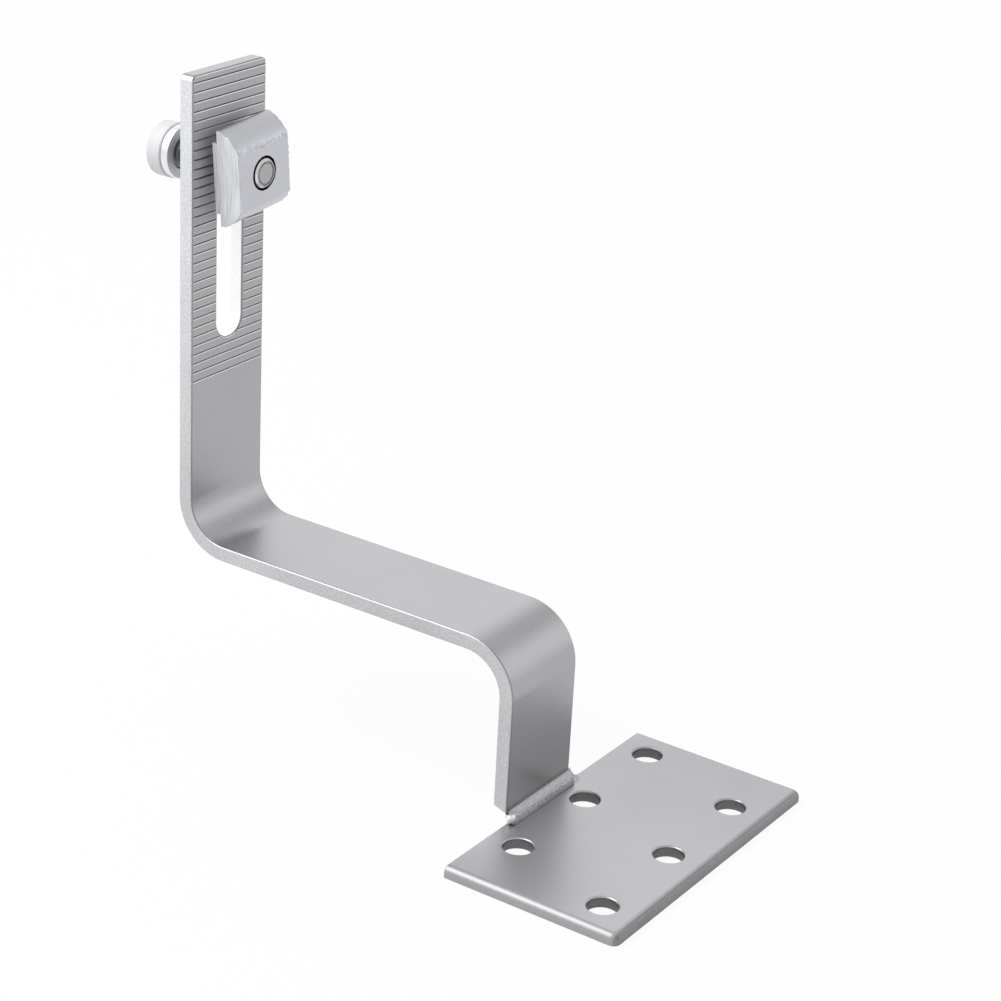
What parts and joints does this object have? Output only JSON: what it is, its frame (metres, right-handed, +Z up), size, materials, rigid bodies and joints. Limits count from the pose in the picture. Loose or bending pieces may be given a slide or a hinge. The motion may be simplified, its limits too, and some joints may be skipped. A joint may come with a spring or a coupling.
{
  "type": "solar roof hook",
  "caption": "Bent flat-bar roof hook welded to a drilled base plate, with a serrated slotted upright and a bolted rail clamp block that slides in the slot.",
  "frame": {"origin": "middle of the base plate's underside", "axes": "+Z up, the base plate's long side along X, the arm and the upright behind the plate along +Y, the upright's serrated face looking along -Y"},
  "size_m": [0.11, 0.2147, 0.214],
  "materials": {
    "strap_steel": "fine blasted satin",
    "plate_steel": "fine blasted satin",
    "weld_metal": "rippled satin",
    "block_aluminium": "mill finish with saw-cut ends",
    "bolt_steel": "smooth",
    "washer_steel": "smooth"
  },
  "bodies": {
    "hook": {"hook_strap": "strap_steel", "base_plate": "plate_steel", "weld_bead": "weld_metal"},
    "washer": {"lock_washer": "washer_steel"},
    "bolt": {"clamp_bolt": "bolt_steel"},
    "block": {"clamp_block": "block_aluminium"}
  },
  "joints": [
    {"name": "clamp_height", "type": "slide", "parent": "hook", "child": "washer", "axis": [0, 0, 1], "range_m": [-0.0508, 0]},
    {"name": "bolt_turn", "type": "hinge", "parent": "washer", "child": "bolt", "pos_m": [-0.0043, 0.157, 0.183], "axis": [0, -1, 0], "range_deg": [-1440, 720]},
    {"name": "block_draw", "type": "slide", "parent": "washer", "child": "block", "axis": [0, 1, 0], "range_m": [-0.00601, 0.00301]}
  ],
  "couplings": [
    {"joint": "block_draw", "follows": "bolt_turn", "m_per_rad": 0.00023873}
  ]
}
